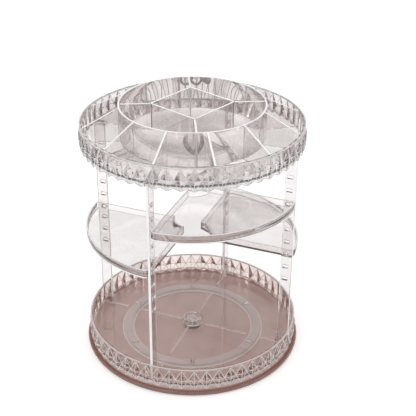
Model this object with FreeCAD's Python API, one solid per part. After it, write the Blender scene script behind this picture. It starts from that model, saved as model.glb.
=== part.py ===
"""Rotating cosmetics carousel in clear moulded plastic.

A low round base stands on rubber feet and carries a roller bearing.  On it turns a
carousel: a round tray with a diamond cut wall, four upright posts that plug into it, and four
fan shaped shelves that hang by tabs in the windows of the posts.  A second diamond cut tray
plugs onto the tops of the posts.  It is divided by a ring and radial plates, and a square
brush cup stands in its middle.

Units are millimetres, +Z is up, and the origin is the middle of the resting plane.
Angles are measured from the front (-Y), positive towards the right (+X).
"""

import FreeCAD
import Part
import math
import os

Vector = FreeCAD.Vector
UP = Vector(0, 0, 1)

# ---- driving dimensions -------------------------------------------------------------------
# overall stack
FOOT_PROUD = 1.5            # the feet stand this far out of the base disc
BASE_THICK = 4.5            # base disc
BASE_PROUD = 4.5            # base disc beyond the tray's rim band, all round
TRAY_GAP = 1.2              # between the base disc and the turning tray
TRAY_HEIGHT = 30.0          # both diamond cut trays, zigzag edge to rim
TOP_TRAY_LIFT = 281.3       # from the bottom tray's zigzag edge to the top tray's

# diamond cut tray
TRAY_RADIUS = 140.0         # outside of the smooth rim band
TRAY_WALL = 4.0             # at the rim band
BAND_HEIGHT = 1.8           # smooth band above the diamonds
DIAMOND_COUNT = 56
DIAMOND_PHASE = 0.9         # angle of the first diamond's tip
DIAMOND_TIP_INSET = 0.4     # a diamond's upper tip, inside the face of the band
DIAMOND_SIDE_INSET = 0.8    # where neighbours touch
DIAMOND_PEAK_PROUD = 2.0
DIAMOND_FOOT_PROUD = 0.2
ZIGZAG = 3.3                # depth of the notches along the lower edge
FLOOR_RECESS = 5.0          # from the lower edge up to the underside of the floor
FLOOR_THICK = 2.8

# posts
POST_ANGLE = -22.0          # first post, and another at each quarter turn
POST_INSET = 2.4            # outer edge inside the face of the band
POST_WIDTH = 15.0           # radial
POST_THICK = 3.6
POST_BEVEL = 0.6
SOCKET_WALL = 1.6
SOCKET_HEIGHT = 10.0
SOCKET_PLAY = 0.15          # round a post's foot
PLUG_PLAY = 0.3             # round a post's head, where the top tray lifts off

# shelves
LEVEL_PITCH = 18.3
FIRST_LEVEL = 103.2         # lowest shelf level above the bottom tray's zigzag edge
LEVEL_COUNT = 9
SHELF_LEVELS = {"front": 6, "right": 2, "back": 6, "left": 3}
SHELF_PROUD = 0.9           # shelf's front beyond the posts' outer edges
SHELF_NOSE = 24.0           # radius of the inner end
SHELF_HEIGHT = 11.0
SHELF_WALL = 2.2
SHELF_FLOOR = 2.2
SHELF_CORNER = 5.0          # rounding of the outer corners
SHELF_PLAY = 0.4            # between a shelf's side and the post
TAB_WIDTH = 5.0
TAB_HEIGHT = 4.0
TAB_DEPTH = 1.5             # how far a tab reaches into the post
TAB_RISE = 3.0              # tab above the shelf's underside
TAB_INSET = 9.5             # from the post's outer edge to the tab's middle
WINDOW_PLAY = 0.4

# top tray fittings
PLATE_THICK = 2.6
DIVIDER_COUNT = 12
DIVIDER_ANGLE = -19.0
DIVIDER_SHOULDER = 2.5      # level length of the top edge beside the wall
RING_RADIUS = 92.0          # outside
RING_RISE = 21.2            # top of the ring above the rim
PLATE_PLAY = 0.1
WEB_COUNT = 4
CUP_ANGLE = 3.0             # a corner of the cup, and the webs
CUP_SIDE = 75.0
CUP_WALL = 2.4
CUP_FLOOR = 2.6
CUP_CORNER = 4.0
CUP_RISE = 0.5              # above the ring
CUP_PLAY = 0.6              # between a web and the cup's corner

# bearing
ROLLER_DIAMETER = 5.0
ROLLER_LENGTH = 7.0
ROLLER_COUNT = 6
ROLLER_PLAY = 0.1           # above and below a roller
RACE_RADIUS = 89.0
RACE_WIDTH = 16.0
CAGE_THICK = 1.0
CAGE_WIDTH = 11.0
CAGE_PLAY = 0.3             # round a roller in its pocket
CAGE_BARS = 6               # straight bars of the cage for each roller

# centre pin
PIN_RADIUS = 4.0
PIN_HEAD_RADIUS = 7.0
PIN_HEAD = 2.0
PIN_RUNNING = 0.05
HUB_RADIUS = 12.0
HUB_GAP = 0.5
HUB_DROP = 2.2
NUT_GAP = 0.3               # above the tray's floor
NUT_FLATS = 14.0
NUT_HEIGHT = 3.0
PIN_STUB = 0.5
CAP_SIDES = 12
CAP_RADIUS = 16.0
CAP_TOP_RADIUS = 12.0
CAP_WALL = 1.5
CAP_HEADROOM = 0.8

# feet and ribs
FOOT_COUNT = 4
FOOT_RADIUS = 9.0
FOOT_INSET = 26.5           # middle of a foot inside the disc's edge
RIB_THICK = 2.0
RIB_DROP = 2.2
RIB_CLEAR = 2.0
BASE_BEVEL = 1.2

# ---- derived heights and radii ------------------------------------------------------------
TRAY_BORE = TRAY_RADIUS - TRAY_WALL
BASE_RADIUS = TRAY_RADIUS + BASE_PROUD
FOOT_CIRCLE = BASE_RADIUS - FOOT_INSET
POST_OUTER = TRAY_RADIUS - POST_INSET
SHELF_RADIUS = POST_OUTER + SHELF_PROUD
DIAMOND_TIP_RADIUS = TRAY_RADIUS - DIAMOND_TIP_INSET
DIAMOND_SIDE_RADIUS = TRAY_RADIUS - DIAMOND_SIDE_INSET
DIAMOND_PEAK_RADIUS = TRAY_RADIUS + DIAMOND_PEAK_PROUD
DIAMOND_FOOT_RADIUS = TRAY_RADIUS + DIAMOND_FOOT_PROUD
BASE_BOTTOM = FOOT_PROUD
BASE_TOP = BASE_BOTTOM + BASE_THICK
LOW_EDGE = BASE_TOP + TRAY_GAP
TOP_EDGE = LOW_EDGE + TOP_TRAY_LIFT
POST_INNER = POST_OUTER - POST_WIDTH
FLOOR_TOP_RISE = FLOOR_RECESS + FLOOR_THICK
LOW_FLOOR_UNDER = LOW_EDGE + FLOOR_RECESS
LOW_FLOOR = LOW_EDGE + FLOOR_TOP_RISE
TOP_FLOOR_UNDER = TOP_EDGE + FLOOR_RECESS
TOP_FLOOR = TOP_EDGE + FLOOR_TOP_RISE
TOP_RIM = TOP_EDGE + TRAY_HEIGHT
RING_TOP = TOP_RIM + RING_RISE
CUP_TOP = RING_TOP + CUP_RISE
ROLLER_AXIS = LOW_FLOOR_UNDER - ROLLER_PLAY - ROLLER_DIAMETER / 2.0
RACE_TOP = ROLLER_AXIS - ROLLER_DIAMETER / 2.0 - ROLLER_PLAY
OVERRUN = 1.0               # how far a cutting tool runs past a face
WELL = 60.0                 # and past an open end

PARTS = {}


# ---- helpers ------------------------------------------------------------------------------
def at(radius, angle, z):
    """Point at a radius and an angle from the front."""
    turn = math.radians(angle)
    return Vector(radius * math.sin(turn), -radius * math.cos(turn), z)


def turned(shape, angle):
    """Copy of a shape drawn along +X, turned to point along an angle from the front."""
    copy = shape.copy()
    copy.rotate(Vector(0, 0, 0), UP, angle - 90.0)
    return copy


def disc(radius, low, high):
    return Part.makeCylinder(radius, high - low, Vector(0, 0, low))


def tube(outer, inner, low, high):
    return disc(outer, low, high).cut(disc(inner, low - OVERRUN, high + OVERRUN))


def radial_plate(inner, outer, thick, low, high):
    """Upright plate along +X, centred on the X axis."""
    return Part.makeBox(outer - inner, thick, high - low, Vector(inner, -thick / 2.0, low))


def polygon_face(points):
    return Part.Face(Part.makePolygon(list(points) + [points[0]]))


def ring_of_points(radius, count, phase, z):
    return [at(radius, phase + 360.0 / count * k, z) for k in range(count)]


def polygon_prism(radius, count, phase, low, high):
    face = polygon_face(ring_of_points(radius, count, phase, low))
    return face.extrude(Vector(0, 0, high - low))


def solid_of(faces):
    solid = Part.makeSolid(Part.Shell(faces))
    if solid.Volume < 0:
        solid.reverse()
    return solid


def upright_edges(shape):
    """Straight edges parallel to Z."""
    found = []
    for edge in shape.Edges:
        if len(edge.Vertexes) != 2:
            continue
        low = edge.Vertexes[0].Point
        high = edge.Vertexes[1].Point
        if math.hypot(low.x - high.x, low.y - high.y) < 1e-6 and abs(low.z - high.z) > 1e-6:
            found.append(edge)
    return found


def edges_beyond(edges, radius):
    """Those of the edges that start outside a radius."""
    return [edge for edge in edges
            if math.hypot(edge.Vertexes[0].Point.x, edge.Vertexes[0].Point.y) > radius]


def edges_at_height(shape, z):
    """Edges that lie in the level plane at z."""
    return [edge for edge in shape.Edges
            if abs(edge.BoundBox.ZMin - z) < 1e-5 and abs(edge.BoundBox.ZMax - z) < 1e-5]


def save(name, shape):
    PARTS[name] = shape.removeSplitter()


# ---- diamond cut tray ---------------------------------------------------------------------
def diamond_plug(low):
    """Closed drum whose side is one row of raised diamonds, with a zigzag lower edge."""
    half_step = 180.0 / DIAMOND_COUNT
    top = low + TRAY_HEIGHT - BAND_HEIGHT
    middle = (low + top) / 2.0
    tips = ring_of_points(DIAMOND_TIP_RADIUS, DIAMOND_COUNT, DIAMOND_PHASE, top)
    peaks = ring_of_points(DIAMOND_PEAK_RADIUS, DIAMOND_COUNT, DIAMOND_PHASE, middle)
    feet = ring_of_points(DIAMOND_FOOT_RADIUS, DIAMOND_COUNT, DIAMOND_PHASE, low)
    sides = ring_of_points(DIAMOND_SIDE_RADIUS, DIAMOND_COUNT, DIAMOND_PHASE + half_step, middle)
    notches = ring_of_points(DIAMOND_SIDE_RADIUS, DIAMOND_COUNT, DIAMOND_PHASE + half_step,
                             low + ZIGZAG)
    hub = Vector(0, 0, low + ZIGZAG)
    faces = [polygon_face(tips)]
    for k in range(DIAMOND_COUNT):
        after = (k + 1) % DIAMOND_COUNT
        tip, peak, foot = tips[k], peaks[k], feet[k]
        side, before, notch = sides[k], sides[k - 1], notches[k]
        for corners in ((tip, peak, side), (tip, before, peak),
                        (foot, side, peak), (foot, peak, before),
                        (tip, side, tips[after]),
                        (foot, notch, side), (notch, feet[after], side),
                        (hub, foot, notch), (hub, notch, feet[after])):
            faces.append(polygon_face(corners))
    return solid_of(faces)


def diamond_tray(low):
    """Round tray with a diamond cut wall that also skirts below the floor."""
    rim = low + TRAY_HEIGHT
    tray = diamond_plug(low).fuse(disc(TRAY_RADIUS, rim - BAND_HEIGHT, rim))
    tray = tray.cut(disc(TRAY_BORE, low + FLOOR_TOP_RISE, rim + WELL))
    return tray.cut(polygon_prism(TRAY_BORE, DIAMOND_COUNT, DIAMOND_PHASE,
                                  low - WELL, low + FLOOR_RECESS))


def post_angles():
    return [POST_ANGLE + 90.0 * quarter for quarter in range(4)]


def post_pocket(play, low, high):
    """Room for one post along +X, reaching a little into the wall."""
    return radial_plate(POST_INNER - play, POST_OUTER + play, POST_THICK + 2 * play, low, high)


def post_socket(play, low, high):
    """Collar round a post, along +X, ending inside the wall."""
    outer = (TRAY_BORE + DIAMOND_SIDE_RADIUS) / 2.0
    thick = POST_THICK + 2 * (play + SOCKET_WALL)
    return radial_plate(POST_INNER - play - SOCKET_WALL, outer, thick, low, high)


def bottom_tray():
    tray = diamond_tray(LOW_EDGE)
    tray = tray.fuse(disc(HUB_RADIUS, LOW_FLOOR_UNDER - HUB_DROP, LOW_FLOOR_UNDER))
    race_inner = RACE_RADIUS - RACE_WIDTH / 2.0
    race_outer = RACE_RADIUS + RACE_WIDTH / 2.0
    rib_low = LOW_FLOOR_UNDER - RIB_DROP
    for angle in post_angles():
        tray = tray.fuse(turned(post_socket(SOCKET_PLAY, LOW_FLOOR, LOW_FLOOR + SOCKET_HEIGHT), angle))
        inner_rib = radial_plate(HUB_RADIUS - OVERRUN, race_inner - RIB_CLEAR, RIB_THICK,
                                 rib_low, LOW_FLOOR_UNDER)
        outer_rib = radial_plate(race_outer + RIB_CLEAR, TRAY_BORE + OVERRUN, RIB_THICK,
                                 rib_low, LOW_FLOOR_UNDER)
        tray = tray.fuse(turned(inner_rib, angle)).fuse(turned(outer_rib, angle))
    for angle in post_angles():
        tray = tray.cut(turned(post_pocket(SOCKET_PLAY, LOW_FLOOR, LOW_FLOOR + WELL), angle))
    return tray.cut(disc(PIN_RADIUS + PIN_RUNNING, BASE_TOP, LOW_FLOOR + WELL))


def top_tray():
    tray = diamond_tray(TOP_EDGE)
    for angle in post_angles():
        tray = tray.fuse(turned(post_socket(PLUG_PLAY, TOP_EDGE + PLUG_PLAY, TOP_FLOOR_UNDER), angle))
    for angle in post_angles():
        tray = tray.cut(turned(post_pocket(PLUG_PLAY, TOP_EDGE - WELL, TOP_FLOOR_UNDER), angle))
    return tray


# ---- posts and shelves --------------------------------------------------------------------
def level_height(level):
    """Underside of a shelf hung at a level."""
    return LOW_EDGE + FIRST_LEVEL + LEVEL_PITCH * level


def tab_radius():
    return POST_OUTER - TAB_INSET


def post():
    """One post along +X, with a ladder of windows for the shelf tabs."""
    plate = radial_plate(POST_INNER, POST_OUTER, POST_THICK, LOW_FLOOR, TOP_FLOOR_UNDER)
    plate = plate.makeChamfer(POST_BEVEL, upright_edges(plate))
    inner = tab_radius() - TAB_WIDTH / 2.0 - WINDOW_PLAY
    outer = tab_radius() + TAB_WIDTH / 2.0 + TAB_DEPTH + WINDOW_PLAY
    for level in range(LEVEL_COUNT):
        sill = level_height(level) + TAB_RISE
        head = sill + TAB_HEIGHT + WINDOW_PLAY
        plate = plate.cut(radial_plate(inner, outer, 2 * POST_THICK, sill, head))
    return plate


def fan_block(radius, nose, offset, low, high, corner):
    """Quarter fan in the +X +Y quadrant, its sides offset from the X and Y axes."""
    block = tube(radius, nose, low, high)
    block = block.common(Part.makeBox(radius, radius, high - low, Vector(offset, offset, low)))
    return block.makeFillet(corner, edges_beyond(upright_edges(block), (radius + nose) / 2.0))


def shelf_tab(low):
    """Tab on the side beside the X axis, reaching into the post there."""
    reach = POST_THICK / 2.0 - TAB_DEPTH
    offset = POST_THICK / 2.0 + SHELF_PLAY
    root = SHELF_WALL / 2.0
    start = tab_radius() - TAB_WIDTH / 2.0
    return Part.makeBox(TAB_WIDTH, offset + root - reach, TAB_HEIGHT,
                        Vector(start, reach, low + TAB_RISE))


def shelf(level):
    """Fan shaped shelf between a post on the X axis and one on the Y axis."""
    low = level_height(level)
    rim = low + SHELF_HEIGHT
    offset = POST_THICK / 2.0 + SHELF_PLAY
    body = fan_block(SHELF_RADIUS, SHELF_NOSE, offset, low, rim, SHELF_CORNER)
    cavity = fan_block(SHELF_RADIUS - SHELF_WALL, SHELF_NOSE + SHELF_WALL, offset + SHELF_WALL,
                       low + SHELF_FLOOR, rim + OVERRUN, SHELF_CORNER - SHELF_WALL)
    tab = shelf_tab(low)
    other = tab.mirror(Vector(0, 0, 0), Vector(1, -1, 0))
    return body.cut(cavity).fuse(tab).fuse(other)


# ---- top tray fittings --------------------------------------------------------------------
def divider():
    """Upright plate from the ring to the wall, its top edge sloping down to the rim."""
    inner = RING_RADIUS + PLATE_PLAY
    outer = TRAY_BORE - PLATE_PLAY
    outline = [(inner, TOP_FLOOR), (outer, TOP_FLOOR), (outer, TOP_RIM),
               (TRAY_BORE - DIVIDER_SHOULDER, TOP_RIM), (inner, RING_TOP)]
    face = polygon_face([Vector(radius, -PLATE_THICK / 2.0, z) for radius, z in outline])
    return face.extrude(Vector(0, PLATE_THICK, 0))


def ring_inner():
    return RING_RADIUS - PLATE_THICK


def cup_block(side, low, high, corner):
    block = Part.makeBox(side, side, high - low, Vector(-side / 2.0, -side / 2.0, low))
    block = block.makeFillet(corner, upright_edges(block))
    block.rotate(Vector(0, 0, 0), UP, 45.0)
    return block


def brush_cup():
    """Square cup with a corner on the +X axis."""
    cup = cup_block(CUP_SIDE, TOP_FLOOR, CUP_TOP, CUP_CORNER)
    inside = cup_block(CUP_SIDE - 2 * CUP_WALL, TOP_FLOOR + CUP_FLOOR, CUP_TOP + OVERRUN,
                       CUP_CORNER - CUP_WALL)
    return cup.cut(inside)


def inner_web():
    corner = CUP_SIDE / math.sqrt(2.0) - CUP_CORNER * (math.sqrt(2.0) - 1.0)
    return radial_plate(corner + CUP_PLAY, ring_inner() - PLATE_PLAY, PLATE_THICK,
                        TOP_FLOOR, RING_TOP)


# ---- base, bearing and pin ----------------------------------------------------------------
def base_disc():
    base = disc(BASE_RADIUS, BASE_BOTTOM, BASE_TOP)
    base = base.makeChamfer(BASE_BEVEL, edges_at_height(base, BASE_TOP))
    base = base.fuse(disc(HUB_RADIUS, BASE_TOP, LOW_FLOOR_UNDER - HUB_DROP - HUB_GAP))
    base = base.cut(disc(PIN_RADIUS, BASE_BOTTOM - OVERRUN, LOW_FLOOR))
    return base.cut(disc(PIN_HEAD_RADIUS, BASE_BOTTOM - OVERRUN, BASE_BOTTOM + PIN_HEAD))


def rubber_feet():
    places = [at(FOOT_CIRCLE, 360.0 / FOOT_COUNT * k, 0) for k in range(FOOT_COUNT)]
    return Part.makeCompound([Part.makeCylinder(FOOT_RADIUS, FOOT_PROUD, place) for place in places])


def bearing_race():
    """Flat ring that the rollers run on."""
    half = RACE_WIDTH / 2.0
    return tube(RACE_RADIUS + half, RACE_RADIUS - half, BASE_TOP, RACE_TOP)


def cage_ring():
    """Ring of short straight bars, with a pocket for each roller in the middle of a bar."""
    bars = CAGE_BARS * ROLLER_COUNT
    reach = 1.0 / math.cos(math.pi / bars)
    inner = (RACE_RADIUS - CAGE_WIDTH / 2.0) * reach
    outer = (RACE_RADIUS + CAGE_WIDTH / 2.0) * reach
    phase = 180.0 / bars
    low = ROLLER_AXIS - CAGE_THICK / 2.0
    high = ROLLER_AXIS + CAGE_THICK / 2.0
    cage = polygon_prism(outer, bars, phase, low, high)
    cage = cage.cut(polygon_prism(inner, bars, phase, low - OVERRUN, high + OVERRUN))
    half_length = ROLLER_LENGTH / 2.0 + CAGE_PLAY
    pocket = radial_plate(RACE_RADIUS - half_length, RACE_RADIUS + half_length,
                          ROLLER_DIAMETER + 2 * CAGE_PLAY, low - OVERRUN, high + OVERRUN)
    for angle in roller_angles():
        cage = cage.cut(turned(pocket, angle))
    return cage


def roller_angles():
    return [360.0 / ROLLER_COUNT * k for k in range(ROLLER_COUNT)]


def bearing_rollers():
    start = Vector(RACE_RADIUS - ROLLER_LENGTH / 2.0, 0, ROLLER_AXIS)
    roller = Part.makeCylinder(ROLLER_DIAMETER / 2.0, ROLLER_LENGTH, start, Vector(1, 0, 0))
    return Part.makeCompound([turned(roller, angle) for angle in roller_angles()])


def nut_bottom():
    return LOW_FLOOR + NUT_GAP


def nut_top():
    return nut_bottom() + NUT_HEIGHT


def centre_pin():
    head = disc(PIN_HEAD_RADIUS, BASE_BOTTOM, BASE_BOTTOM + PIN_HEAD)
    return head.fuse(disc(PIN_RADIUS, BASE_BOTTOM, nut_top() + PIN_STUB))


def pin_nut():
    corner = NUT_FLATS / math.sqrt(3.0)
    nut = polygon_prism(corner, 6, 0.0, nut_bottom(), nut_top())
    return nut.cut(disc(PIN_RADIUS, nut_bottom() - OVERRUN, nut_top() + OVERRUN))


def tapered_plug(radius, top_radius, low, high):
    """Many sided plug for the cap, narrower at its top."""
    foot = ring_of_points(radius, CAP_SIDES, 0.0, low)
    top = ring_of_points(top_radius, CAP_SIDES, 0.0, high)
    faces = [polygon_face(foot), polygon_face(top)]
    for k in range(CAP_SIDES):
        after = (k + 1) % CAP_SIDES
        faces.append(polygon_face([foot[k], foot[after], top[after], top[k]]))
    return solid_of(faces)


def hub_cap():
    """Low faceted cap on the bottom tray's floor, over the nut."""
    inside_top = nut_top() + PIN_STUB + CAP_HEADROOM
    cap = tapered_plug(CAP_RADIUS, CAP_TOP_RADIUS, LOW_FLOOR, inside_top + CAP_WALL)
    return cap.cut(tapered_plug(CAP_RADIUS - CAP_WALL, CAP_TOP_RADIUS - CAP_WALL,
                                LOW_FLOOR, inside_top))


# ---- the assembly -------------------------------------------------------------------------
def build():
    save("base_disc", base_disc())
    save("rubber_feet", rubber_feet())
    save("bearing_race", bearing_race())
    save("centre_pin", centre_pin())
    save("pin_nut", pin_nut())
    save("cage_ring", cage_ring())
    save("bearing_rollers", bearing_rollers())

    save("bottom_tray", bottom_tray())
    save("hub_cap", hub_cap())
    upright = post()
    for name, angle in zip(("front_left", "front_right", "back_right", "back_left"), post_angles()):
        save("post_" + name, turned(upright, angle))
    for (name, level), angle in zip(SHELF_LEVELS.items(), post_angles()):
        save("shelf_" + name, turned(shelf(level), angle))

    save("top_tray", top_tray())
    save("ring_partition", tube(RING_RADIUS, ring_inner(), TOP_FLOOR, RING_TOP))
    plate = divider()
    for k in range(DIVIDER_COUNT):
        save("divider_%02d" % (k + 1), turned(plate, DIVIDER_ANGLE + 360.0 / DIVIDER_COUNT * k))
    web = inner_web()
    for k in range(WEB_COUNT):
        save("inner_web_%d" % (k + 1), turned(web, CUP_ANGLE + 360.0 / WEB_COUNT * k))
    save("brush_cup", turned(brush_cup(), CUP_ANGLE))


build()
os.makedirs("parts", exist_ok=True)
for node, shape in PARTS.items():
    shape.exportStep("parts/%s.step" % node)
    print("%-18s solids %2d  valid %s  volume %10.1f" % (node, len(shape.Solids), shape.isValid(),
                                                         shape.Volume))
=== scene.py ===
"""Looks of the rotating cosmetics carousel: clear moulded plastic on a white studio floor.

Lengths are metres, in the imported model's frame.  Angles are degrees.
"""

import math

import bpy
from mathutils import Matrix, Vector

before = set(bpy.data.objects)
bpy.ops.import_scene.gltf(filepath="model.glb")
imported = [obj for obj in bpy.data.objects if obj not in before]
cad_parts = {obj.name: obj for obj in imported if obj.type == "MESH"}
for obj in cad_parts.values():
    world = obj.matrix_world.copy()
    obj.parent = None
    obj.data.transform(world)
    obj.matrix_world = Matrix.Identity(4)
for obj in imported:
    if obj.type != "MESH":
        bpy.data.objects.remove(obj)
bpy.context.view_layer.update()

SCENE = bpy.context.scene

# camera
IMAGE_SIDE = 416.0          # pixels
FOCAL_PIXELS = 916.1
SENSOR = 36.0               # millimetres
AXIS_PIXEL = 192.42         # column of the turning axis in the image
AIM_HEIGHT = 0.19247        # where the camera's axis meets the turning axis
CAMERA_DISTANCE = 1.1915
CAMERA_PITCH = 28.706

# edges of the moulded pieces: start of the node's name, and width of the rounding
EDGE_WIDTHS = {
    "base_disc": 0.0006, "bottom_tray": 0.0004, "top_tray": 0.0004, "post": 0.0003,
    "shelf": 0.0005, "divider": 0.0005, "inner_web": 0.0005, "ring_partition": 0.0006,
    "brush_cup": 0.0006, "hub_cap": 0.0003, "rubber_feet": 0.0005,
}
BEVEL_ANGLE = 12.0          # a sharper edge than this is rounded
BEVEL_SEGMENTS = 2
FLAT_ANGLE = 0.05           # faces within this are one face
WELD_DISTANCE = 0.000005
AIR_GAP = 0.00003           # how far each surface goes in

# painted highlight: white painted on edges, standing in for light the plastic pipes to them
HIGHLIGHT_WHITE = (0.97, 0.965, 0.965)
# painted reflection: brown on the base disc's border, standing in for a brown table seen through
# it
PAINTED_TABLE_BROWN = (0.30, 0.13, 0.10)
EDGE_ROUGHNESS = 0.35
EDGE_CLEARNESS = 0.1        # transmission left at an edge
SKIRT_CLEARNESS = 0.6
TABLE_BROWN_CLEARNESS = 0.5
SKIRT_HIGHLIGHT = 0.5

# colours of the plastics: clean, dull, and of the light that passes in shadows
CLEAR = ((0.91, 0.89, 0.885), (0.86, 0.835, 0.83), (0.94, 0.93, 0.93))
# painted reflection: pink tint of the lower tray and hub cap, standing in for a brown table seen
# through them
PAINTED_TABLE_PINK = ((0.955, 0.885, 0.865), (0.90, 0.825, 0.805), (0.95, 0.92, 0.91))
# painted shade and painted reflection: the base disc is darker and pinker, standing in for shade
# and a brown table below the stack
BASE_SHADE_AND_PINK = ((0.71, 0.645, 0.63), (0.65, 0.585, 0.57), (0.93, 0.90, 0.89))
# painted highlight: milky white on the rounded ridges between facets, standing in for glints
RIDGE_HIGHLIGHT = (HIGHLIGHT_WHITE, (0.90, 0.89, 0.885), (0.94, 0.93, 0.93))
SATIN = ((0.74, 0.74, 0.75), (0.66, 0.66, 0.67), (0.94, 0.93, 0.93))
RUBBER = ((0.96, 0.95, 0.94), (0.90, 0.88, 0.87), (0.91, 0.89, 0.885))
STEEL_BRIGHT = (0.80, 0.80, 0.81)
STEEL_DULL = (0.62, 0.62, 0.63)

# inside the clear plastic: its absorption per metre is ABSORPTION * (1 - colour)
DEEP = (0.78, 0.725, 0.715)
DEEP_PALE = (0.86, 0.84, 0.835)
# painted reflection: pink absorption of the lower pieces, standing in for a brown table seen
# through them
DEEP_TABLE_PINK = (0.86, 0.745, 0.71)
ABSORPTION = 60.0

# refraction, transmission and roughness
CLEAR_IOR = 1.57
SATIN_IOR = 1.48
RUBBER_IOR = 1.43
SATIN_CLEARNESS = 0.35
RUBBER_CLEARNESS = 0.7
RIDGE_CLEARNESS = 0.35
POLISH = (0.012, 0.05)      # roughness, untouched and worn
RIDGE_POLISH = (0.2, 0.35)
SATIN_POLISH = (0.28, 0.42)
RUBBER_POLISH = (0.35, 0.55)
STEEL_POLISH = (0.16, 0.32)

# the patterns in the surfaces: scale per metre, detail, roughness
HAZE = (38.0, 4.0, 0.6)
WEAR = (210.0, 5.0, 0.7)
FLOW = (26.0, 2.0, 0.4)
SATIN_CLOUD = (60.0, 4.0, 0.6)
SATIN_RUB = (900.0, 3.0, 0.6)
SATIN_GRAIN = (1400.0, 2.0, 0.5)
RUBBER_DUST = (150.0, 4.0, 0.7)
RUBBER_RUB = (700.0, 3.0, 0.6)
RUBBER_GRAIN = (1800.0, 2.0, 0.5)
STEEL_CLOUD = (120.0, 4.0, 0.6)
STEEL_RUB = (500.0, 4.0, 0.6)
NOISE_RANGE = (0.3, 0.7)    # where most of a pattern's values lie
WORN_RANGE = (0.42, 0.78)   # of the wear pattern, from untouched to worn
TURNING_SCALE = 900.0
TURNING_DISTORTION = 1.5

# relief of the surfaces: strength, height
FLOW_RELIEF = (0.12, 0.002)
SATIN_RELIEF = (0.25, 0.0002)
RUBBER_RELIEF = (0.2, 0.0002)
TURNING_RELIEF = (0.15, 0.0001)

# how an edge with a painted highlight is found
LOOKS_UP = (0.25, 0.5)      # upward part of a normal, from 0 to 1 in a mask
LOOKS_OUT = (0.4, 0.6)      # outward part
NARROW_FACE = (0.5, 0.8)    # outward or inward part

# shares of a piece's own height
SHARE_FADE = 0.005          # half of a mask's fade
PLATE_TOP = 0.4
WALL_TOP = 0.9
SHELF_FOOT = 0.2
RIM_TOP = 0.94
SKIRT_TOP = 0.27            # of a tray, just above its floor

# places on the pieces
SHELF_FRONT = 0.1363        # inside face of a shelf's front wall
SHELF_FADE = 0.0004
RIB_TOP = 0.0122            # underside of the bottom tray's floor
TRAY_INSIDE = 0.1355        # just inside a tray's skirt
RIM_LINE = 0.1378           # inner edge of the painted highlight line along a tray's rim
LINE_FADE = 0.0002
BASE_BORDER = 0.1395        # from here outwards the base disc gets the painted brown reflection
BORDER_FADE = 0.002
BORDER_SIDE = 0.6           # how much of the painted brown reflection its side gets
RACE_MIDDLE = 0.089         # of the bearing ring
RACE_INSIDE = 0.0066        # half the width between the ring's painted highlight borders
RACE_FADE = 0.0003

# studio
WHITE = (1.0, 1.0, 1.0, 1.0)
ROOM_STOPS = (              # straight down is 0 and straight up is 1: place, colour
    (0.50, (1.0, 1.0, 1.0)), (0.56, (0.9, 0.9, 0.9)), (0.70, (0.45, 0.45, 0.4545)),
    (0.86, (0.38, 0.38, 0.3838)), (0.93, (0.85, 0.85, 0.8585)),
)
ROOM_PARTS = (6.0, 1.0, 0.3)    # pattern of its paler and darker parts
ROOM_RANGE = (0.42, 0.58)
ROOM_LEVELS = (0.05, 1.5)
ROOM_LIGHT = 0.66           # on matt surfaces
LAMP_AIM = (0.0, 0.0, 0.16)
SOFTBOXES = (               # name, place, width, height, watts
    ("key", (-1.2, -0.9, 2.0), 1.8, 1.8, 17.0),
    ("fill", (1.6, -0.6, 1.3), 1.4, 1.8, 7.0),
    ("back", (0.3, 1.3, 2.2), 2.4, 1.6, 11.0),
)
STRIP_COUNT = 8             # narrow lamps round the object
STRIP_DISTANCE = 1.5
STRIP_MIDDLE = 0.5
STRIP_WIDTH = 0.05
STRIP_HEIGHT = 0.9
STRIP_WATTS = 0.4
FLOOR_SIDE = 24.0
FLOOR_DROP = 0.0002         # under the resting plane
FLOOR_COLOUR = (0.88, 0.88, 0.88, 1.0)
FLOOR_LIFT = (0.22, 0.46)   # keeps the floor white, near the object and far from the lamps
LIFT_RADII = (0.8, 2.5)
BOUNCES = 96
TRANSPARENT_BOUNCES = 64


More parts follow.
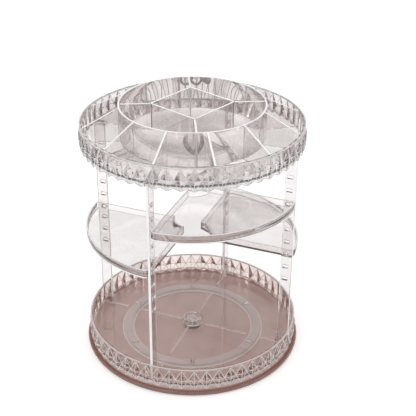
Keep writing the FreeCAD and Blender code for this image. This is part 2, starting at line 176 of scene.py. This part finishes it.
# ---- node helpers -------------------------------------------------------------------------
class Graph:
    """Small wrapper that adds nodes to a tree and links them."""

    def __init__(self, tree):
        self.tree = tree
        tree.nodes.clear()

    def add(self, kind, **settings):
        node = self.tree.nodes.new(kind)
        for name, value in settings.items():
            setattr(node, name, value)
        return node

    def link(self, output, socket):
        self.tree.links.new(output, socket)

    def coordinates(self, space):
        return self.add("ShaderNodeTexCoord").outputs[space]

    def noise(self, pattern, coordinates):
        node = self.add("ShaderNodeTexNoise")
        for name, value in zip(("Scale", "Detail", "Roughness"), pattern):
            node.inputs[name].default_value = value
        self.link(coordinates, node.inputs["Vector"])
        return node.outputs["Fac"]

    def spread(self, value, low, high, start=0.0, end=1.0):
        """Maps a value between start and end to low and high."""
        node = self.add("ShaderNodeMapRange")
        node.inputs["From Min"].default_value = start
        node.inputs["From Max"].default_value = end
        node.inputs["To Min"].default_value = low
        node.inputs["To Max"].default_value = high
        self.link(value, node.inputs["Value"])
        return node.outputs["Result"]

    def mask(self, value, start, end):
        """0 up to start, and 1 from end on."""
        return self.spread(value, 0.0, 1.0, start, end)

    def blend(self, factor, low, high):
        """Between two colours, of which the first may be a socket."""
        node = self.add("ShaderNodeMix", data_type="RGBA")
        if isinstance(low, tuple):
            node.inputs["A"].default_value = (*low, 1.0)
        else:
            self.link(low, node.inputs["A"])
        node.inputs["B"].default_value = (*high, 1.0)
        self.link(factor, node.inputs["Factor"])
        return node.outputs["Result"]

    def math(self, operation, first, second=None):
        """Arithmetic on sockets and plain numbers."""
        node = self.add("ShaderNodeMath", operation=operation)
        for value, socket in zip((first, second), node.inputs):
            if isinstance(value, float):
                socket.default_value = value
            elif value is not None:
                self.link(value, socket)
        return node.outputs[0]

    def axes(self, vector):
        node = self.add("ShaderNodeSeparateXYZ")
        self.link(vector, node.inputs[0])
        return node.outputs

    def bump(self, height, relief):
        node = self.add("ShaderNodeBump")
        for name, value in zip(("Strength", "Distance"), relief):
            node.inputs[name].default_value = value
        self.link(height, node.inputs["Height"])
        return node.outputs["Normal"]

    def mix_shaders(self, factor, first, second):
        node = self.add("ShaderNodeMixShader")
        for output, socket in zip((factor, first, second), node.inputs):
            self.link(output, socket)
        return node.outputs[0]


def new_material(name):
    """The material, its graph and the sockets of its output."""
    material = bpy.data.materials.new(name)
    material.use_nodes = True
    graph = Graph(material.node_tree)
    output = graph.add("ShaderNodeOutputMaterial")
    return material, graph, output.inputs


def radius_from_axis(graph):
    place = graph.axes(graph.coordinates("Object"))
    across = graph.math("MULTIPLY", place["X"], place["X"])
    along = graph.math("MULTIPLY", place["Y"], place["Y"])
    return graph.math("SQRT", graph.math("ADD", across, along))


# ---- where a highlight is painted on edges, and a brown reflection on the base: 1 there, 0 elsewhere ---
def above_share(graph, share):
    """Above a share of the piece's own height."""
    height = graph.axes(graph.coordinates("Generated"))["Z"]
    return graph.mask(height, share - SHARE_FADE, share + SHARE_FADE)


def looking_up(graph):
    return graph.mask(graph.axes(graph.coordinates("Normal"))["Z"], *LOOKS_UP)


def outwards(graph):
    """How far a face looks away from the turning axis, from -1 to 1."""
    direction = graph.add("ShaderNodeVectorMath", operation="NORMALIZE")
    level = graph.add("ShaderNodeVectorMath", operation="MULTIPLY")
    level.inputs[1].default_value = (1.0, 1.0, 0.0)
    graph.link(graph.coordinates("Object"), level.inputs[0])
    graph.link(level.outputs["Vector"], direction.inputs[0])
    facing = graph.add("ShaderNodeVectorMath", operation="DOT_PRODUCT")
    graph.link(direction.outputs["Vector"], facing.inputs[0])
    graph.link(graph.coordinates("Normal"), facing.inputs[1])
    return facing.outputs["Value"]


def narrow_faces(graph):
    """Those that look towards the turning axis or away from it."""
    return graph.mask(graph.math("ABSOLUTE", outwards(graph)), *NARROW_FACE)


def plate_edge(graph):
    """Painted highlight on the top, and both ends."""
    top = graph.math("MULTIPLY", looking_up(graph), above_share(graph, PLATE_TOP))
    return graph.math("MAXIMUM", top, narrow_faces(graph))


def wall_edge(graph):
    """Painted highlight on the top."""
    return graph.math("MULTIPLY", looking_up(graph), above_share(graph, WALL_TOP))


def shelf_edge(graph):
    """Painted highlight on the rim, and the edge of the floor round the front."""
    front = graph.mask(radius_from_axis(graph), SHELF_FRONT - SHELF_FADE, SHELF_FRONT)
    floor = graph.math("SUBTRACT", 1.0, above_share(graph, SHELF_FOOT))
    return graph.math("MAXIMUM", wall_edge(graph), graph.math("MULTIPLY", front, floor))


def painted_brown_border(graph):
    """Painted brown reflection: fully on the top round the tray, and partly on the side."""
    border = graph.mask(radius_from_axis(graph), BASE_BORDER - BORDER_FADE, BASE_BORDER)
    return graph.math("MULTIPLY", border,
                      graph.spread(outwards(graph), 1.0, BORDER_SIDE, *LOOKS_OUT))


def race_border(graph):
    """Painted highlight next to both edges of the ring."""
    across = graph.math("ABSOLUTE", graph.math("SUBTRACT", radius_from_axis(graph), RACE_MIDDLE))
    return graph.mask(across, RACE_INSIDE, RACE_INSIDE + RACE_FADE)


def tray_edge(graph):
    """Painted highlight: a line along the rim and, partly, the skirt's outside, below the floor.
    """
    skirt = graph.spread(above_share(graph, SKIRT_TOP), SKIRT_HIGHLIGHT, 0.0)
    rim = graph.math("MULTIPLY", looking_up(graph), above_share(graph, RIM_TOP))
    outer = graph.mask(radius_from_axis(graph), RIM_LINE - LINE_FADE, RIM_LINE)
    outside = graph.mask(outwards(graph), *LOOKS_OUT)
    return graph.math("MAXIMUM", graph.math("MULTIPLY", outside, skirt),
                      graph.math("MULTIPLY", rim, outer))


def low_tray_edge(graph):
    """Painted highlight on the rim's line, the skirt, and the ribs under the floor."""
    height = graph.axes(graph.coordinates("Object"))["Z"]
    under = graph.spread(height, 1.0, 0.0, RIB_TOP - LINE_FADE, RIB_TOP)
    inside = graph.spread(radius_from_axis(graph), 1.0, 0.0,
                          TRAY_INSIDE - BORDER_FADE, TRAY_INSIDE)
    return graph.math("MAXIMUM", tray_edge(graph), graph.math("MULTIPLY", under, inside))


# ---- materials ----------------------------------------------------------------------------
def let_light_through(graph, shader, colour):
    """The shader, with shadow rays passing through it tinted."""
    see_through = graph.add("ShaderNodeBsdfTransparent")
    see_through.inputs["Color"].default_value = (*colour, 1.0)
    shadow_ray = graph.add("ShaderNodeLightPath").outputs["Is Shadow Ray"]
    return graph.mix_shaders(shadow_ray, shader, see_through.outputs[0])


def clear_plastic(name, colours, edge=None, deep=DEEP, painted_edge_colour=HIGHLIGHT_WHITE,
                  edge_clearness=EDGE_CLEARNESS, clearness=1.0, polish=POLISH):
    """Polished clear plastic.  Flow ripples from moulding bend what shows through it, and a
    little haze and handling wear vary its polish.  Edges get a painted white highlight, and
    the base's border a painted brown reflection."""
    clean, dull, shadow = colours
    material, graph, output = new_material(name)
    where = graph.coordinates("Object")
    plastic = graph.add("ShaderNodeBsdfPrincipled")
    plastic.inputs["IOR"].default_value = CLEAR_IOR
    colour = graph.blend(graph.mask(graph.noise(HAZE, where), *NOISE_RANGE), clean, dull)
    roughness = graph.spread(graph.noise(WEAR, where), *polish, *WORN_RANGE)
    if edge is None:
        plastic.inputs["Transmission Weight"].default_value = clearness
    else:
        # mask of the painted edge colour: a white highlight, and on the base a brown reflection
        highlight_mask = edge(graph)
        colour = graph.blend(highlight_mask, colour, painted_edge_colour)
        roughness = graph.math("MAXIMUM", roughness, graph.spread(highlight_mask, 0.0, EDGE_ROUGHNESS))
        graph.link(graph.spread(highlight_mask, clearness, edge_clearness),
                   plastic.inputs["Transmission Weight"])
    graph.link(colour, plastic.inputs["Base Color"])
    graph.link(roughness, plastic.inputs["Roughness"])
    graph.link(graph.bump(graph.noise(FLOW, where), FLOW_RELIEF), plastic.inputs["Normal"])
    graph.link(let_light_through(graph, plastic.outputs[0], shadow), output["Surface"])
    body = graph.add("ShaderNodeVolumeAbsorption")
    body.inputs["Color"].default_value = (*deep, 1.0)
    body.inputs["Density"].default_value = ABSORPTION
    graph.link(body.outputs[0], output["Volume"])
    return material


def satin_plastic(name, colours):
    """Satin plastic of the bearing ring, which has painted white highlights along its borders,
    and of its cage.
    """
    light, dark, shadow = colours
    material, graph, output = new_material(name)
    where = graph.coordinates("Object")
    plastic = graph.add("ShaderNodeBsdfPrincipled")
    plastic.inputs["IOR"].default_value = SATIN_IOR
    highlight_mask = race_border(graph)
    colour = graph.blend(graph.noise(SATIN_CLOUD, where), light, dark)
    # painted highlight: white along the ring's borders
    graph.link(graph.blend(highlight_mask, colour, HIGHLIGHT_WHITE), plastic.inputs["Base Color"])
    graph.link(graph.spread(highlight_mask, SATIN_CLEARNESS, 0.0), plastic.inputs["Transmission Weight"])
    graph.link(graph.spread(graph.noise(SATIN_RUB, where), *SATIN_POLISH, *NOISE_RANGE),
               plastic.inputs["Roughness"])
    graph.link(graph.bump(graph.noise(SATIN_GRAIN, where), SATIN_RELIEF),
               plastic.inputs["Normal"])
    graph.link(let_light_through(graph, plastic.outputs[0], shadow), output["Surface"])
    return material


def clear_rubber(name, colours):
    """Soft translucent rubber with a dusty matt skin."""
    light, dark, shadow = colours
    material, graph, output = new_material(name)
    where = graph.coordinates("Object")
    rubber = graph.add("ShaderNodeBsdfPrincipled")
    rubber.inputs["IOR"].default_value = RUBBER_IOR
    rubber.inputs["Transmission Weight"].default_value = RUBBER_CLEARNESS
    graph.link(graph.blend(graph.noise(RUBBER_DUST, where), light, dark),
               rubber.inputs["Base Color"])
    graph.link(graph.spread(graph.noise(RUBBER_RUB, where), *RUBBER_POLISH, *NOISE_RANGE),
               rubber.inputs["Roughness"])
    graph.link(graph.bump(graph.noise(RUBBER_GRAIN, where), RUBBER_RELIEF),
               rubber.inputs["Normal"])
    graph.link(let_light_through(graph, rubber.outputs[0], shadow), output["Surface"])
    return material


def turned_steel(name, bright, dull):
    """Bright steel with fine turning marks round the Z axis."""
    material, graph, output = new_material(name)
    where = graph.coordinates("Object")
    steel = graph.add("ShaderNodeBsdfPrincipled")
    steel.inputs["Metallic"].default_value = 1.0
    rings = graph.add("ShaderNodeTexWave", wave_type="RINGS", rings_direction="Z")
    rings.inputs["Scale"].default_value = TURNING_SCALE
    rings.inputs["Distortion"].default_value = TURNING_DISTORTION
    graph.link(where, rings.inputs["Vector"])
    graph.link(graph.blend(graph.noise(STEEL_CLOUD, where), bright, dull),
               steel.inputs["Base Color"])
    graph.link(graph.spread(graph.noise(STEEL_RUB, where), *STEEL_POLISH, *NOISE_RANGE),
               steel.inputs["Roughness"])
    graph.link(graph.bump(rings.outputs["Fac"], TURNING_RELIEF), steel.inputs["Normal"])
    graph.link(steel.outputs[0], output["Surface"])
    return material


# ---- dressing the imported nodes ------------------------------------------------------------
def soften_edges(node, width):
    """Joins the mesh's split corners, clears its flat faces and rounds its sharp edges.  The
    surface goes in by a hair, so that air shows between pieces that touch."""
    weld = node.modifiers.new("weld", "WELD")
    weld.merge_threshold = WELD_DISTANCE
    flatten = node.modifiers.new("flatten", "DECIMATE")
    flatten.decimate_type = "DISSOLVE"
    flatten.angle_limit = math.radians(FLAT_ANGLE)
    shrink = node.modifiers.new("air gap", "DISPLACE")
    shrink.mid_level = 0.0
    shrink.strength = -AIR_GAP
    bevel = node.modifiers.new("edges", "BEVEL")
    bevel.width = width
    bevel.segments = BEVEL_SEGMENTS
    bevel.limit_method = "ANGLE"
    bevel.angle_limit = math.radians(BEVEL_ANGLE)
    bevel.use_clamp_overlap = False
    # the rounded edges take the last material, which carries the painted ridge highlight where a
    # piece has one
    bevel.material = len(node.data.materials) - 1


def paint(node, materials):
    """The last material is for the rounded edges: the painted ridge highlight on the trays,
    shelves and hub cap.
    """
    node.data.materials.clear()
    for material in materials:
        node.data.materials.append(material)


def dress():
    plate = clear_plastic("clear_plates", CLEAR, plate_edge, DEEP_PALE)
    wall = clear_plastic("clear_walls", CLEAR, wall_edge, DEEP_PALE)
    shelf = clear_plastic("clear_shelves", CLEAR, shelf_edge)
    post = clear_plastic("clear_posts", CLEAR, narrow_faces)
    tray = clear_plastic("clear_tray", CLEAR, tray_edge, edge_clearness=SKIRT_CLEARNESS)
    low_tray = clear_plastic("clear_tray_table_pink", PAINTED_TABLE_PINK, low_tray_edge, DEEP_TABLE_PINK,
                             edge_clearness=SKIRT_CLEARNESS)
    cap = clear_plastic("clear_cap_table_pink", PAINTED_TABLE_PINK, deep=DEEP_TABLE_PINK)
    base = clear_plastic("clear_base_shade_and_pink", BASE_SHADE_AND_PINK, painted_brown_border, DEEP_TABLE_PINK, PAINTED_TABLE_BROWN, TABLE_BROWN_CLEARNESS)
    highlight_on_ridges = clear_plastic("ridges_painted_highlight", RIDGE_HIGHLIGHT, clearness=RIDGE_CLEARNESS, polish=RIDGE_POLISH)
    satin = satin_plastic("satin_race_plastic", SATIN)
    rubber = clear_rubber("clear_rubber", RUBBER)
    steel = turned_steel("turned_steel", STEEL_BRIGHT, STEEL_DULL)
    finishes = {"base_disc": [base], "bottom_tray": [low_tray, highlight_on_ridges], "hub_cap": [cap, highlight_on_ridges],
                "rubber_feet": [rubber], "bearing_race": [satin], "cage_ring": [satin],
                "bearing_rollers": [steel], "centre_pin": [steel], "pin_nut": [steel],
                "post": [post], "shelf": [shelf, highlight_on_ridges], "top_tray": [tray, highlight_on_ridges],
                "divider": [plate], "inner_web": [plate], "ring_partition": [wall],
                "brush_cup": [wall]}
    for name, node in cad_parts.items():
        for start, finish in finishes.items():
            if name.startswith(start):
                paint(node, finish)
        for start, width in EDGE_WIDTHS.items():
            if name.startswith(start):
                soften_edges(node, width)


# ---- studio -------------------------------------------------------------------------------
def seen_ray(graph):
    """1 for rays from the camera and from glossy and clear surfaces."""
    path = graph.add("ShaderNodeLightPath").outputs
    direct = graph.math("MAXIMUM", path["Is Camera Ray"], path["Is Glossy Ray"])
    return graph.math("MAXIMUM", direct, path["Is Transmission Ray"])


def make_world():
    """White behind the object, a room with paler and darker parts in its reflections, and even
    light on its matt surfaces."""
    world = bpy.data.worlds.new("studio")
    SCENE.world = world
    world.use_nodes = True
    graph = Graph(world.node_tree)
    direction = graph.coordinates("Generated")
    room = graph.add("ShaderNodeValToRGB")
    stops = room.color_ramp.elements
    for position, colour in ROOM_STOPS:
        stops.new(position).color = (*colour, 1.0)
    stops.remove(stops[0])
    stops.remove(stops[-1])
    height = graph.axes(direction)["Z"]
    graph.link(graph.mask(height, -1.0, 1.0), room.inputs["Fac"])
    around = graph.add("ShaderNodeBackground")
    graph.link(room.outputs["Color"], around.inputs["Color"])
    parts = graph.spread(graph.noise(ROOM_PARTS, direction), *ROOM_LEVELS, *ROOM_RANGE)
    graph.link(parts, around.inputs["Strength"])
    light = graph.add("ShaderNodeBackground")
    light.inputs["Color"].default_value = WHITE
    light.inputs["Strength"].default_value = ROOM_LIGHT
    bounced = graph.mix_shaders(seen_ray(graph), light.outputs[0], around.outputs[0])
    camera_ray = graph.add("ShaderNodeLightPath").outputs["Is Camera Ray"]
    behind = graph.add("ShaderNodeBackground")
    behind.inputs["Color"].default_value = WHITE
    shown = graph.mix_shaders(camera_ray, bounced, behind.outputs[0])
    graph.link(shown, graph.add("ShaderNodeOutputWorld").inputs["Surface"])


def make_floor():
    mesh = bpy.data.meshes.new("floor")
    half = FLOOR_SIDE / 2.0
    corners = [(-half, -half, -FLOOR_DROP), (half, -half, -FLOOR_DROP),
               (half, half, -FLOOR_DROP), (-half, half, -FLOOR_DROP)]
    mesh.from_pydata(corners, [], [(0, 1, 2, 3)])
    floor = bpy.data.objects.new("floor", mesh)
    SCENE.collection.objects.link(floor)
    material, graph, output = new_material("white_floor")
    matt = graph.add("ShaderNodeBsdfDiffuse")
    matt.inputs["Color"].default_value = FLOOR_COLOUR
    glow = graph.add("ShaderNodeEmission")
    lift = graph.spread(radius_from_axis(graph), *FLOOR_LIFT, *LIFT_RADII)
    graph.link(graph.math("MULTIPLY", seen_ray(graph), lift), glow.inputs["Strength"])
    both = graph.add("ShaderNodeAddShader")
    graph.link(matt.outputs[0], both.inputs[0])
    graph.link(glow.outputs[0], both.inputs[1])
    graph.link(both.outputs[0], output["Surface"])
    mesh.materials.append(material)


def add_softbox(name, place, width, height, watts):
    data = bpy.data.lights.new(name, "AREA")
    data.shape = "RECTANGLE"
    data.size = width
    data.size_y = height
    data.energy = watts
    lamp = bpy.data.objects.new(name, data)
    lamp.location = place
    view = Vector(LAMP_AIM) - Vector(place)
    lamp.rotation_euler = view.to_track_quat("-Z", "Y").to_euler()
    SCENE.collection.objects.link(lamp)


def make_lights():
    for softbox in SOFTBOXES:
        add_softbox(*softbox)
    for number in range(STRIP_COUNT):
        angle = 2.0 * math.pi * (number + 0.5) / STRIP_COUNT
        place = (STRIP_DISTANCE * math.sin(angle), -STRIP_DISTANCE * math.cos(angle),
                 STRIP_MIDDLE)
        add_softbox(f"strip_{number + 1}", place, STRIP_WIDTH, STRIP_HEIGHT, STRIP_WATTS)


def make_camera():
    data = bpy.data.cameras.new("camera")
    data.sensor_width = SENSOR
    data.lens = FOCAL_PIXELS / IMAGE_SIDE * SENSOR
    data.shift_x = (IMAGE_SIDE / 2.0 - AXIS_PIXEL) / IMAGE_SIDE
    camera = bpy.data.objects.new("camera", data)
    pitch = math.radians(CAMERA_PITCH)
    camera.location = (0.0, -CAMERA_DISTANCE * math.cos(pitch),
                       AIM_HEIGHT + CAMERA_DISTANCE * math.sin(pitch))
    camera.rotation_euler = (math.pi / 2.0 - pitch, 0.0, 0.0)
    SCENE.collection.objects.link(camera)
    SCENE.camera = camera


def render_settings():
    SCENE.view_settings.view_transform = "Standard"
    SCENE.cycles.max_bounces = BOUNCES
    SCENE.cycles.transmission_bounces = BOUNCES
    SCENE.cycles.glossy_bounces = BOUNCES
    SCENE.cycles.transparent_max_bounces = TRANSPARENT_BOUNCES
    SCENE.cycles.use_denoising = True


make_camera()
make_world()
make_floor()
make_lights()
dress()
render_settings()
